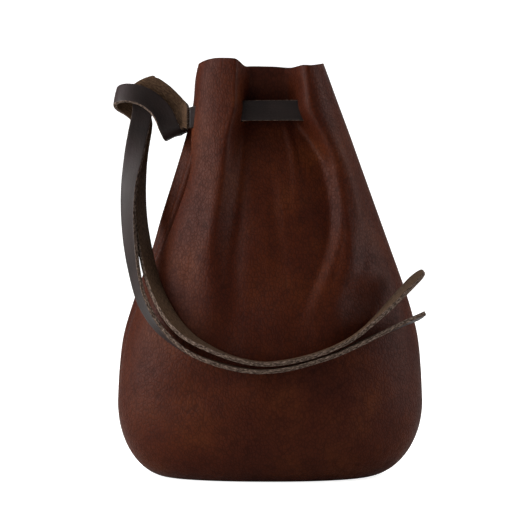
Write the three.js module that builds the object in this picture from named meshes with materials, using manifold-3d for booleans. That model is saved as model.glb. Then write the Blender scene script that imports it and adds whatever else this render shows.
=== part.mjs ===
// Drawstring belt pouch of thick dark leather, filled and standing on its flattened underside.
// Two panels are sewn face to face and turned, so each seam shows as a rolled groove outside
// and as two leather edges inside. A flat lace gathers the neck and is knotted on the left,
// and its two free ends hang down and lie across the front.
// Millimetres, +Z up, front towards -Y. Origin: on the floor, under the middle of the bag.

import * as THREE from 'three';
import { mergeVertices } from 'three/addons/utils/BufferGeometryUtils.js';
import Module from 'manifold-3d';

// The bag
const HEIGHT = 165; // floor to the top of the rim
const HALF_WIDTH = 60.8; // axis to the left and right of the belly
const HALF_DEPTH = 36; // axis to the front and back of the belly
const BASE_LEFT = 40.5; // flat of the underside, to the left of the axis
const BASE_RIGHT = 37.5; // and to the right
const BASE_HALF_DEPTH = 21; // flat of the underside, front to back
const BASE_TURN = 30; // height over which the underside rounds up into the wall
const LEATHER = 1.6; // thickness of the leather

// The seams
const SEAM_ROLL = 2.2; // radius on which the leather turns in at a seam
const SEAM_ALLOWANCE = 4; // depth of the leather edge inside a seam
const SEAM_GAP = 0.3; // space between the two faces that are sewn together

// The lace
const LACE_WIDTH = 8;
const LACE_THICKNESS = 1.6;
const LACE_BEVEL = 0.35; // worn corner of the lace's section
const SLIT_CLEARANCE = 0.35; // space round the lace in its slits

// Grid steps of each panel
const UNDERSIDE_STEPS = 2;
const TURN_STEPS = 5;
const WALL_STEPS = 19;
const FRONT_COLUMNS = 34;
const BACK_COLUMNS = 26;
const ROLL_STEPS = 2;
const CROWDED_PLACES = 4; // columns crowd at the side seams and at the folds between them
const CROWDING = 0.02; // how far they shift towards these, share of the panel
const WELD = 0.001; // points closer together than this are one point

// The wall above the rounded underside. height: share of HEIGHT. left, right: shares of
// HALF_WIDTH. front, back: shares of HALF_DEPTH. square: exponent of the oval, 2 is an ellipse.
const WALL = [
  // height, left, right, front, back, square
  [0.18, 1.0, 1.0, 0.99, 0.99, 2.2],
  [0.26, 0.99, 0.99, 1.0, 1.0, 2.2],
  [0.34, 0.962, 0.968, 0.985, 0.985, 2.2],
  [0.41, 0.907, 0.92, 0.95, 0.95, 2.2],
  [0.47, 0.85, 0.868, 0.91, 0.91, 2.2],
  [0.55, 0.772, 0.79, 0.85, 0.85, 2.25],
  [0.63, 0.71, 0.712, 0.79, 0.79, 2.3],
  [0.745, 0.612, 0.6, 0.7, 0.7, 2.4],
  [0.825, 0.55, 0.522, 0.64, 0.64, 2.6],
  [0.9, 0.507, 0.445, 0.6, 0.6, 3.0],
  [0.96, 0.493, 0.385, 0.59, 0.59, 3.1],
  [1.0, 0.472, 0.345, 0.585, 0.585, 3.0],
];

// The gathered valley down the middle of each panel. height: share of HEIGHT. Walls and their
// widths: shares of HALF_WIDTH. depth and ridge: shares of HALF_DEPTH. ridge: the crest that
// stands up just right of the valley.
const FRONT_VALLEY = [
  // height, left wall, its width, right wall, its width, depth, ridge
  [0.3, -0.28, 0.26, 0.23, 0.26, 0.0, 0.0],
  [0.39, -0.3, 0.24, 0.25, 0.23, 0.045, 0.015],
  [0.48, -0.31, 0.22, 0.345, 0.18, 0.1, 0.04],
  [0.6, -0.325, 0.2, 0.43, 0.15, 0.165, 0.055],
  [0.74, -0.295, 0.18, 0.39, 0.16, 0.235, 0.05],
  [0.8, -0.25, 0.16, 0.315, 0.16, 0.3, 0.04],
  [0.875, -0.183, 0.13, 0.19, 0.19, 0.4, 0.025],
  [0.93, -0.178, 0.12, 0.175, 0.19, 0.37, 0.02],
  [1.0, -0.181, 0.105, 0.165, 0.19, 0.27, 0.01],
];
const BACK_VALLEY = [
  // height, left wall, its width, right wall, its width, depth, ridge
  [0.34, -0.2, 0.26, 0.3, 0.26, 0.0, 0.0],
  [0.45, -0.22, 0.22, 0.3, 0.24, 0.05, 0.0],
  [0.6, -0.24, 0.18, 0.3, 0.2, 0.12, 0.02],
  [0.74, -0.22, 0.2, 0.28, 0.2, 0.2, 0.03],
  [0.875, -0.18, 0.18, 0.21, 0.18, 0.34, 0.02],
  [1.0, -0.18, 0.19, 0.19, 0.19, 0.27, 0.01],
];
const RIDGE_REACH = 0.095; // half the width of the ridge, share of HALF_WIDTH

// The side seams. out: how far the seam lies behind (+) or before (-) the middle, share of
// HALF_DEPTH. depth: how far the gathers pull it in, share of HALF_WIDTH. reach: half the width
// of that fold, share of HALF_DEPTH. step: how far the front panel lies in from the back one
// beside the seam, share of HALF_WIDTH.
const LEFT_SEAM = [
  // height, out, depth, reach, step
  [0.0, 0.0, 0.0, 0.18, 0.0],
  [0.18, -0.1, 0.0, 0.18, 0.0],
  [0.3, -0.15, 0.01, 0.16, 0.005],
  [0.41, -0.18, 0.03, 0.15, 0.01],
  [0.52, -0.2, 0.05, 0.14, 0.024],
  [0.6, -0.21, 0.068, 0.14, 0.05],
  [0.68, -0.21, 0.08, 0.14, 0.062],
  [0.745, -0.2, 0.088, 0.14, 0.055],
  [0.81, -0.16, 0.1, 0.14, 0.018],
  [0.88, -0.11, 0.115, 0.15, 0.0],
  [1.0, -0.1, 0.11, 0.15, 0.0],
];
const RIGHT_SEAM = [
  // height, out, depth, reach, step
  [0.0, 0.0, 0.0, 0.15, 0.0],
  [0.3, 0.07, 0.0, 0.15, 0.0],
  [0.6, 0.08, 0.008, 0.15, 0.0],
  [1.0, 0.08, 0.015, 0.15, 0.0],
];
const STEP_REACH = 0.2; // width over which that step rises, share of HALF_DEPTH
const STEP_FADE = 0.4; // from the middle to here the step fades in, share of the oval's width

// Soft dents of the filled belly's front. across: share of HALF_WIDTH. height: share of HEIGHT.
// half-width and half-height: shares of HALF_WIDTH and HEIGHT. depth: share of HALF_DEPTH.
const DENTS = [
  // across, height, half-width, half-height, depth
  [0.6, 0.43, 0.27, 0.065, 0.055],
  [0.1, 0.33, 0.3, 0.07, 0.02],
  [-0.35, 0.22, 0.3, 0.06, 0.02],
];

// Where the rim is cut lower. across: share of the panel from the left seam to the right one.
// drop: share of HEIGHT.
const RIM = [
  // across, drop
  [0.0, 0.012],
  [0.22, 0.002],
  [0.33, 0.003],
  [0.39, 0.006],
  [0.47, 0.007],
  [0.55, 0.012],
  [0.62, 0.016],
  [0.68, 0.019],
  [0.76, 0.016],
  [0.88, 0.01],
  [1.0, 0.004],
];
const RIM_SAG = 0.2; // drop of the rim in a valley, share of the valley's depth there

// The threaded stretch of the lace. across: share of the bag's half-width at that height. out:
// share of its half-depth there. height: share of HEIGHT.
const THREADING = [
  // across, out, height
  [-0.985, -0.47, 0.861],
  [-0.87, -0.5, 0.866],
  [-0.66, -0.55, 0.872],
  [-0.4, -0.59, 0.876],
  [0.0, -0.61, 0.877],
  [0.44, -0.6, 0.877],
  [0.58, -0.54, 0.876],
  [0.67, -0.34, 0.876],
  [0.69, 0.0, 0.876],
  [0.66, 0.32, 0.876],
  [0.56, 0.53, 0.876],
  [0.4, 0.6, 0.876],
  [0.0, 0.62, 0.876],
  [-0.3, 0.6, 0.876],
  [-0.56, 0.54, 0.873],
  [-0.8, 0.38, 0.868],
  [-0.95, 0.2, 0.863],
  [-1.025, 0.12, 0.86],
];

// Steps of the lace's solid between two rows of its route
const THREADING_STEPS = 2;
const TAIL_STEPS = 1;

// Routes of the two free ends, from the neck through the knot to the cut tip. across, out and
// height: point of the middle line, shares of HALF_WIDTH, HALF_DEPTH and HEIGHT. edge x, y, z:
// direction across the lace from edge to edge.
const GRAIN_TAIL = [
  // across, out, height, edge x, edge y, edge z
  [-0.53, -0.281, 0.86, 0.0, 0.0, 1.0],
  [-0.553, -0.244, 0.865, 0.25, 0.0, 0.97],
  [-0.584, -0.167, 0.879, 0.6, 0.0, 0.8],
  [-0.632, -0.139, 0.898, 0.65, 0.0, 0.76],
  [-0.688, -0.128, 0.919, 0.5, 0.0, 0.86],
  [-0.748, -0.119, 0.935, 0.62, 0.0, 0.78],
  [-0.806, -0.111, 0.944, 0.88, 0.0, 0.47],
  [-0.834, -0.094, 0.948, 0.88, 0.0, 0.47],
  [-0.842, -0.075, 0.946, 0.88, 0.0, 0.47],
  [-0.844, -0.056, 0.943, 0.88, 0.0, 0.47],
  [-0.845, -0.039, 0.933, 0.88, 0.0, 0.47],
  [-0.839, -0.033, 0.913, 0.97, 0.0, 0.24],
  [-0.837, -0.036, 0.885, 1.0, 0.0, 0.0],
  [-0.85, -0.039, 0.858, 0.98, 0.0, -0.18],
  [-0.877, -0.056, 0.807, 0.98, -0.1, -0.15],
  [-0.9, -0.111, 0.75, 0.91, -0.4, -0.02],
  [-0.918, -0.194, 0.696, 0.77, -0.61, 0.17],
  [-0.918, -0.306, 0.628, 0.67, -0.68, 0.29],
  [-0.898, -0.456, 0.557, 0.57, -0.72, 0.41],
  [-0.854, -0.644, 0.475, 0.37, -0.77, 0.51],
  [-0.809, -0.783, 0.425, 0.27, -0.81, 0.53],
  [-0.72, -0.889, 0.371, 0.11, -0.89, 0.44],
  [-0.617, -0.972, 0.335, -0.1, -0.94, 0.33],
  [-0.503, -1.039, 0.307, -0.22, -0.96, 0.17],
  [-0.395, -1.089, 0.291, -0.22, -0.97, 0.08],
  [-0.283, -1.119, 0.278, -0.14, -0.99, 0.03],
  [-0.14, -1.139, 0.268, -0.09, -1.0, 0.01],
  [-0.023, -1.144, 0.267, 0.01, -1.0, 0.0],
  [0.109, -1.139, 0.273, 0.11, -0.99, 0.02],
  [0.238, -1.119, 0.285, 0.19, -0.98, 0.05],
  [0.383, -1.078, 0.301, 0.25, -0.97, 0.09],
  [0.503, -1.022, 0.319, 0.28, -0.95, 0.12],
  [0.605, -0.956, 0.336, 0.31, -0.94, 0.14],
  [0.709, -0.872, 0.353, 0.31, -0.93, 0.2],
  [0.821, -0.772, 0.37, 0.3, -0.92, 0.28],
  [0.975, -0.622, 0.392, 0.3, -0.92, 0.33],
];
const FLESH_TAIL = [
  // across, out, height, edge x, edge y, edge z
  [-0.551, 0.053, 0.858, 0.0, 0.0, -1.0],
  [-0.576, 0.022, 0.852, -0.45, 0.0, -0.89],
  [-0.605, -0.008, 0.836, -0.84, 0.0, -0.54],
  [-0.622, -0.067, 0.824, -0.9, 0.0, -0.43],
  [-0.627, -0.144, 0.821, -0.9, 0.0, -0.43],
  [-0.638, -0.222, 0.824, -0.9, 0.0, -0.43],
  [-0.66, -0.281, 0.841, -0.88, -0.06, -0.46],
  [-0.697, -0.261, 0.873, -0.77, -0.33, -0.54],
  [-0.77, -0.242, 0.901, -0.49, -0.37, -0.79],
  [-0.852, -0.233, 0.917, -0.3, -0.38, -0.88],
  [-0.931, -0.211, 0.922, -0.15, -0.38, -0.91],
  [-0.985, -0.15, 0.92, -0.15, -0.38, -0.91],
  [-1.005, -0.075, 0.914, -0.15, -0.37, -0.92],
  [-0.985, -0.006, 0.905, -0.2, -0.3, -0.93],
  [-0.934, 0.036, 0.896, -0.35, -0.15, -0.92],
  [-0.878, 0.05, 0.881, -0.64, -0.05, -0.77],
  [-0.842, 0.056, 0.859, -0.91, 0.0, -0.41],
  [-0.849, 0.061, 0.825, -0.9, -0.4, 0.05],
  [-0.859, 0.064, 0.788, -0.72, -0.69, 0.05],
  [-0.858, 0.04, 0.744, -0.48, -0.87, 0.12],
  [-0.857, -0.055, 0.697, -0.45, -0.84, 0.29],
  [-0.847, -0.2, 0.629, -0.52, -0.79, 0.32],
  [-0.812, -0.4, 0.557, -0.6, -0.74, 0.3],
  [-0.753, -0.635, 0.475, -0.64, -0.73, 0.25],
  [-0.691, -0.8, 0.426, -0.64, -0.76, 0.12],
  [-0.622, -0.9, 0.385, -0.57, -0.82, -0.03],
  [-0.541, -0.978, 0.353, -0.47, -0.88, -0.06],
  [-0.459, -1.044, 0.332, -0.36, -0.93, -0.02],
  [-0.283, -1.117, 0.302, -0.18, -0.98, 0.06],
  [-0.146, -1.139, 0.288, -0.1, -0.99, 0.02],
  [-0.028, -1.144, 0.283, 0.01, -1.0, 0.0],
  [0.102, -1.139, 0.288, 0.11, -0.99, 0.02],
  [0.238, -1.119, 0.299, 0.19, -0.98, 0.05],
  [0.37, -1.078, 0.315, 0.27, -0.96, 0.1],
  [0.465, -1.033, 0.331, 0.31, -0.94, 0.15],
  [0.543, -0.983, 0.348, 0.29, -0.94, 0.18],
  [0.62, -0.922, 0.37, 0.28, -0.94, 0.22],
  [0.715, -0.822, 0.401, 0.36, -0.91, 0.15],
  [0.817, -0.711, 0.438, 0.43, -0.88, 0.06],
  [0.974, -0.542, 0.495, 0.45, -0.87, 0.02],
];

// Value of one column of a table at a given height, a smooth curve through the rows.
function column(table, at, index) {
  const last = table.length - 1;
  const from = Math.min(Math.max(table.findIndex((row) => row[0] > at) - 1, 0), last - 1);
  const low = at >= table[last][0] ? last - 1 : from;
  const slope = (i) => {
    const before = table[Math.max(i - 1, 0)];
    const after = table[Math.min(i + 1, last)];
    return (after[index] - before[index]) / (after[0] - before[0]);
  };
  const step = table[low + 1][0] - table[low][0];
  const t = Math.min(Math.max((at - table[low][0]) / step, 0), 1);
  const a = table[low][index];
  const b = table[low + 1][index];
  return (
    a * (1 + 2 * t) * (1 - t) ** 2 +
    b * t * t * (3 - 2 * t) +
    step * (slope(low) * t * (1 - t) ** 2 - slope(low + 1) * t * t * (1 - t))
  );
}

// Rises smoothly from 0 to 1 while q goes from -0.5 to 0.5.
function rise(q) {
  const t = Math.min(Math.max(q + 0.5, 0), 1);
  return t * t * t * (t * (6 * t - 15) + 10);
}

// Smooth hump, 1 in the middle and 0 from q = -1 and q = 1 outwards.
function hump(q) {
  return Math.abs(q) < 1 ? (1 - q * q) ** 2 : 0;
}

// Half-widths and half-depths of the bag's oval at height z.
function oval(z) {
  const share = z / HEIGHT;
  const size = {
    left: HALF_WIDTH * column(WALL, share, 1),
    right: HALF_WIDTH * column(WALL, share, 2),
    front: HALF_DEPTH * column(WALL, share, 3),
    back: HALF_DEPTH * column(WALL, share, 4),
    square: column(WALL, share, 5),
  };
  const turned = z < BASE_TURN ? Math.sqrt(1 - (1 - z / BASE_TURN) ** 2) : 1;
  const base = { left: BASE_LEFT, right: BASE_RIGHT, front: BASE_HALF_DEPTH, back: BASE_HALF_DEPTH };
  for (const side of Object.keys(base)) {
    size[side] = base[side] + (size[side] - base[side]) * turned;
  }
  return size;
}

// Inward push of a gathered valley at x and height z.
function valley(table, x, z) {
  const at = (index) => column(table, z / HEIGHT, index);
  const left = rise((x / HALF_WIDTH - at(1)) / at(2));
  const right = rise((x / HALF_WIDTH - at(3)) / at(4));
  const crest = at(3) + at(4) / 2 + RIDGE_REACH / 2;
  const ridge = hump((x / HALF_WIDTH - crest) / RIDGE_REACH);
  return HALF_DEPTH * (at(5) * left * (1 - right) - at(6) * ridge);
}

// Inward push of the soft dents at x and height z.
function dentDepth(x, z) {
  const depths = DENTS.map(([across, height, halfWidth, halfHeight, depth]) => {
    const nearX = hump((x / HALF_WIDTH - across) / halfWidth);
    return depth * nearX * hump((z / HEIGHT - height) / halfHeight);
  });
  return HALF_DEPTH * depths.reduce((sum, depth) => sum + depth);
}

// Point of the leather's outer face: turn is the angle round the bag from +X, z its height.
function bagPoint(turn, z) {
  const size = oval(z);
  const cos = Math.cos(turn);
  const sin = Math.sin(turn);
  let x = Math.sign(cos) * Math.abs(cos) ** (2 / size.square) * (cos < 0 ? size.left : size.right);
  let y = Math.sign(sin) * Math.abs(sin) ** (2 / size.square) * (sin < 0 ? size.front : size.back);
  const facing = Math.abs(sin) ** (2 / size.square);
  const push = valley(sin < 0 ? FRONT_VALLEY : BACK_VALLEY, x, z) * facing;
  const dent = sin < 0 ? dentDepth(x, z) : 0;
  const seam = cos < 0 ? LEFT_SEAM : RIGHT_SEAM;
  const at = (index) => column(seam, z / HEIGHT, index);
  const fold = at(2) * hump((y / HALF_DEPTH - at(1)) / at(3));
  const sideways = Math.abs(cos) ** (2 / size.square);
  const besideSeam = rise((at(1) - y / HALF_DEPTH) / STEP_REACH);
  const step = at(4) * besideSeam * rise(sideways / STEP_FADE - 0.5);
  x -= Math.sign(cos) * HALF_WIDTH * (fold + step);
  y -= Math.sign(sin) * (push + dent);
  return new THREE.Vector3(x, y, z);
}

// Angle round the bag at which the outer face stands at depth y, beside the given side seam.
function turnAt(leftSide, y, z) {
  const size = oval(z);
  const share = (Math.abs(y) / (y < 0 ? size.front : size.back)) ** (size.square / 2);
  const away = Math.sign(y) * Math.asin(share);
  return leftSide ? Math.PI - away : away;
}

// A sheet of leather is a list of points, each kept once, and triangles between them.
function makeSheet() {
  const points = [];
  const triangles = [];
  const known = new Map();
  const place = (point) => {
    const key = point.toArray().map((value) => Math.round(value / WELD)).join();
    if (!known.has(key)) {
      known.set(key, points.length);
      points.push(point);
    }
    return known.get(key);
  };
  const triangle = (a, b, c) => {
    if (a !== b && b !== c && c !== a) triangles.push([a, b, c]);
  };
  const quad = (a, b, c, d) => {
    triangle(a, b, c);
    triangle(a, c, d);
  };
  return { points, triangles, place, quad };
}

// One panel. side is -1 for the front and 1 for the back.
function panelSheet(side, columns) {
  const sheet = makeSheet();
  const lip = SEAM_ROLL + SEAM_GAP / 2; // distance from the seam at which the leather turns in
  const seamOut = (table, z) => HALF_DEPTH * column(table, z / HEIGHT, 1);
  const share = (i) => {
    const even = i / columns;
    return even + CROWDING * Math.sin(CROWDED_PLACES * 2 * Math.PI * even);
  };
  const turnOf = (i, z) => {
    const left = turnAt(true, seamOut(LEFT_SEAM, z) + side * lip, z);
    const right = turnAt(false, seamOut(RIGHT_SEAM, z) + side * lip, z);
    const end = side < 0 ? right + 2 * Math.PI : right;
    return left + (end - left) * share(i);
  };
  const grid = [];
  const addRow = (pointOf) => {
    grid.push(Array.from({ length: columns + 1 }, (_, i) => sheet.place(pointOf(i))));
  };

  for (let k = 0; k < UNDERSIDE_STEPS; k += 1) {
    addRow((i) => {
      const edge = bagPoint(turnOf(i, 0), 0);
      edge.y = side * lip + (edge.y - side * lip) * (k / UNDERSIDE_STEPS);
      return edge;
    });
  }
  for (let k = 0; k < TURN_STEPS; k += 1) {
    const z = BASE_TURN * (1 - Math.cos(((k / TURN_STEPS) * Math.PI) / 2));
    addRow((i) => bagPoint(turnOf(i, z), z));
  }
  for (let k = 0; k <= WALL_STEPS; k += 1) {
    addRow((i) => {
      const across = share(i);
      const brim = bagPoint(turnOf(i, HEIGHT), HEIGHT);
      const sag = RIM_SAG * valley(side < 0 ? FRONT_VALLEY : BACK_VALLEY, brim.x, HEIGHT);
      const top = HEIGHT * (1 - column(RIM, across, 1)) - Math.max(sag, 0);
      const z = BASE_TURN + (top - BASE_TURN) * (k / WALL_STEPS);
      return bagPoint(turnOf(i, z), z);
    });
  }
  for (let k = 0; k < grid.length - 1; k += 1) {
    for (let i = 0; i < columns; i += 1) {
      const corners = [grid[k][i], grid[k][i + 1], grid[k + 1][i + 1], grid[k + 1][i]];
      sheet.quad(...(side < 0 ? corners : corners.reverse()));
    }
  }

  // The edge that is sewn: down the left side, along the underside and up the right side.
  const left = grid.map((row) => row[0]).reverse();
  const right = grid.map((row) => row[columns]);
  const edge = [...left, ...grid[0], ...right].filter((index, k, all) => index !== all[k - 1]);
  const normals = edge.map((_, k) => {
    const before = sheet.points[edge[Math.max(k - 1, 0)]];
    const after = sheet.points[edge[Math.min(k + 1, edge.length - 1)]];
    return new THREE.Vector3(after.z - before.z, 0, before.x - after.x).normalize();
  });
  let ring = edge;
  for (let k = 1; k <= ROLL_STEPS + 1; k += 1) {
    const angle = (Math.min(k / ROLL_STEPS, 1) * Math.PI) / 2;
    const depth = SEAM_ROLL * (1 - Math.cos(angle)) + (k > ROLL_STEPS ? SEAM_ALLOWANCE : 0);
    const next = edge.map((index, m) => {
      const point = sheet.points[index].clone().addScaledVector(normals[m], -depth);
      point.y -= side * SEAM_ROLL * Math.sin(angle);
      return sheet.place(point);
    });
    for (let m = 0; m < edge.length - 1; m += 1) {
      const corners = [next[m], next[m + 1], ring[m + 1], ring[m]];
      sheet.quad(...(side < 0 ? corners : corners.reverse()));
    }
    ring = next;
  }
  return sheet;
}

// Closed solid from a sheet: a second face lies one thickness inside, and walls join the edges.
function thicken({ points, triangles }, thickness) {
  const normals = points.map(() => new THREE.Vector3());
  const open = new Map();
  for (const [a, b, c] of triangles) {
    const sideA = points[b].clone().sub(points[a]);
    const normal = sideA.cross(points[c].clone().sub(points[a]));
    for (const index of [a, b, c]) normals[index].add(normal);
    for (const [from, to] of [[a, b], [b, c], [c, a]]) {
      if (!open.delete(`${to},${from}`)) open.set(`${from},${to}`, [from, to]);
    }
  }
  const count = points.length;
  const inner = points.map((point, k) =>
    point.clone().addScaledVector(normals[k].normalize(), -thickness),
  );
  const faces = [...triangles, ...triangles.map(([a, b, c]) => [c + count, b + count, a + count])];
  for (const [from, to] of open.values()) {
    faces.push([to, from, from + count], [to, from + count, to + count]);
  }
  const geometry = new THREE.BufferGeometry().setFromPoints([...points, ...inner]);
  return geometry.setIndex(faces.flat());
}

// Route of the lace with the direction across it at each point, so that it can fold and twist.
class LaceRoute extends THREE.CatmullRomCurve3 {
  constructor(rows) {
    super(rows.map(([x, y, z]) => new THREE.Vector3(x, y, z)), false, 'centripetal');
    this.across = rows.map(([, , , x, y, z]) => new THREE.Vector3(x, y, z).normalize());
  }

  acrossAt(t) {
    const place = t * (this.across.length - 1);
    const low = Math.min(Math.floor(place), this.across.length - 2);
    return this.across[low].clone().lerp(this.across[low + 1], place - low).normalize();
  }

  // The steps follow the points of the route, which lie closer together in its folds.
  getSpacedPoints(steps) {
    return this.getPoints(steps);
  }

  computeFrenetFrames(steps) {
    const frames = { tangents: [], normals: [], binormals: [] };
    for (let k = 0; k <= steps; k += 1) {
      const tangent = this.getTangent(k / steps);
      const across = this.acrossAt(k / steps);
      const face = across.clone().cross(tangent);
      frames.tangents.push(tangent);
      frames.binormals.push(across.divideScalar(face.length()));
      frames.normals.push(face.normalize());
    }
    return frames;
  }
}

// Flat lace along a route. margin makes it larger all round, to cut its slits.
function laceGeometry(rows, stepsPerPoint, margin = 0) {
  const x = LACE_THICKNESS / 2 + margin;
  const y = LACE_WIDTH / 2 + margin;
  const section = new THREE.Shape([
    new THREE.Vector2(x - LACE_BEVEL, -y),
    new THREE.Vector2(x, LACE_BEVEL - y),
    new THREE.Vector2(x, y - LACE_BEVEL),
    new THREE.Vector2(x - LACE_BEVEL, y),
    new THREE.Vector2(LACE_BEVEL - x, y),
    new THREE.Vector2(-x, y - LACE_BEVEL),
    new THREE.Vector2(-x, LACE_BEVEL - y),
    new THREE.Vector2(LACE_BEVEL - x, -y),
  ]);
  const steps = (rows.length - 1) * stepsPerPoint;
  return new THREE.ExtrudeGeometry(section, { steps, extrudePath: new LaceRoute(rows) });
}

const wasm = await Module();
wasm.setup();

// Solid for cutting, from any closed geometry.
function solidOf(geometry) {
  const bare = new THREE.BufferGeometry();
  bare.setAttribute('position', geometry.getAttribute('position').clone());
  if (geometry.index) bare.setIndex(geometry.index);
  const merged = mergeVertices(bare, WELD);
  return new wasm.Manifold(new wasm.Mesh({
    numProp: 3,
    vertProperties: new Float32Array(merged.getAttribute('position').array),
    triVerts: new Uint32Array(merged.index.array),
  }));
}

function geometryOf(solid) {
  const mesh = solid.getMesh();
  const geometry = new THREE.BufferGeometry();
  geometry.setAttribute('position', new THREE.BufferAttribute(mesh.vertProperties, 3));
  return geometry.setIndex(new THREE.BufferAttribute(mesh.triVerts, 1));
}

// A free end's rows with their points in millimetres.
function tailRows(table) {
  return table.map(([across, out, height, ...edge]) => [
    HALF_WIDTH * across,
    HALF_DEPTH * out,
    HEIGHT * height,
    ...edge,
  ]);
}

// The threaded stretch, worked out from the neck's own size at each point.
const threadingRows = THREADING.map(([across, out, height]) => {
  const z = HEIGHT * height;
  const size = oval(z);
  const x = across * (across < 0 ? size.left : size.right);
  const y = out * (out < 0 ? size.front : size.back);
  return [x, y, z, 0, 0, 1];
});

// The same rows with both ends carried on straight, so that the cut goes clear through.
function lengthened(rows, by) {
  const beyond = ([x, y, z, ...edge], [nextX, nextY, nextZ]) => {
    const way = new THREE.Vector3(x - nextX, y - nextY, z - nextZ).setLength(by);
    return [x + way.x, y + way.y, z + way.z, ...edge];
  };
  return [beyond(rows[0], rows[1]), ...rows, beyond(rows.at(-1), rows.at(-2))];
}

const cutterRows = lengthened(threadingRows, LACE_WIDTH / 2);
const slits = solidOf(laceGeometry(cutterRows, THREADING_STEPS, SLIT_CLEARANCE));

const panelLeather = new THREE.MeshStandardMaterial({ color: 0x4a281e, roughness: 0.45 });
const laceLeather = new THREE.MeshStandardMaterial({ color: 0x33292a, roughness: 0.5 });

const pouch = new THREE.Group();

function add(name, geometry, material) {
  geometry.computeVertexNormals();
  const mesh = new THREE.Mesh(geometry, material);
  mesh.name = name;
  pouch.add(mesh);
}

function slitPanel(side, columns) {
  const panel = solidOf(thicken(panelSheet(side, columns), LEATHER));
  return geometryOf(panel.subtract(slits));
}

add('front_panel', slitPanel(-1, FRONT_COLUMNS), panelLeather);
add('back_panel', slitPanel(1, BACK_COLUMNS), panelLeather);
add('neck_lace', laceGeometry(threadingRows, THREADING_STEPS), laceLeather);
add('lace_tail_grain', laceGeometry(tailRows(GRAIN_TAIL), TAIL_STEPS), laceLeather);
add('lace_tail_flesh', laceGeometry(tailRows(FLESH_TAIL), TAIL_STEPS), laceLeather);

export default pouch;
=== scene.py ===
import bpy
import numpy as np
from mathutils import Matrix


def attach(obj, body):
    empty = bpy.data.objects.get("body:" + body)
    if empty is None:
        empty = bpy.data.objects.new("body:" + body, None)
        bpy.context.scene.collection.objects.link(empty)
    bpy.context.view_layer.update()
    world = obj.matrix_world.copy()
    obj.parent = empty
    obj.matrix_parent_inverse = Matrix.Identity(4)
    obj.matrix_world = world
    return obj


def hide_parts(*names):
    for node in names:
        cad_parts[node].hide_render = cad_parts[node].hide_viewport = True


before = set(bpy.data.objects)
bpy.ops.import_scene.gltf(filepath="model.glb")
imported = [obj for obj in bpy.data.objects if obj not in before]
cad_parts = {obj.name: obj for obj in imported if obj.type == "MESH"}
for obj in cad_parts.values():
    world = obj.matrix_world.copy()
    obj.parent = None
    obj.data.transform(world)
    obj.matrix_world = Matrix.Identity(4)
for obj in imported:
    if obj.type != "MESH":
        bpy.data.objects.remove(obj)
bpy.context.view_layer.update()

# The camera
# It stands level in front of the pouch, a little above half the pouch's height, where the
# photograph was taken from, 0.7 m away with a long lens.
view_data = bpy.data.cameras.new("photo_view")
view_data.lens = 121.15
view_data.sensor_width = 36.0
view_data.clip_start = 0.01
view_camera = bpy.data.objects.new("photo_view", view_data)
view_camera.location = (-0.004, -0.7, 0.086)
view_camera.rotation_euler = (np.pi / 2, 0.0, 0.0)
bpy.context.scene.collection.objects.link(view_camera)
bpy.context.scene.camera = view_camera

# The free ends of the lace
# Two ends of a flat strip cut from smooth dark hide, dyed on the grain face and left raw on the
# flesh face. They are knotted at the neck's left, hang down and lie across the front.
HEIGHT = 0.165
HALF_WIDTH = 0.0608
HALF_DEPTH = 0.036
LACE_WIDTH = 0.008
LACE_THICKNESS = 0.0016
LACE_CORNER = 0.0003
STEPS_PER_ROW = 12
CORNER_POINTS = 4
FACE_STEPS = 8
EDGE_STEPS = 3
# The look of a face goes this many points past the middle of its side, one step into the round
# of each corner.
FACE_REACH = 1.1
# Where the edge direction leans along the route it is lengthened, by at most 1 / LEAST_LEAN.
LEAST_LEAN = 0.75
# The middle of the band is cupped by LACE_CUP, and more within FOLD_ROWS of a tight fold. Its
# width varies by about WIDTH_FRAY, and TIP_DRAW is taken from its square at a pointed tip.
LACE_CUP = 0.0001
FOLD_ROWS = 2.5
WIDTH_FRAY = 0.008
TIP_DRAW = 0.93

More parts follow.
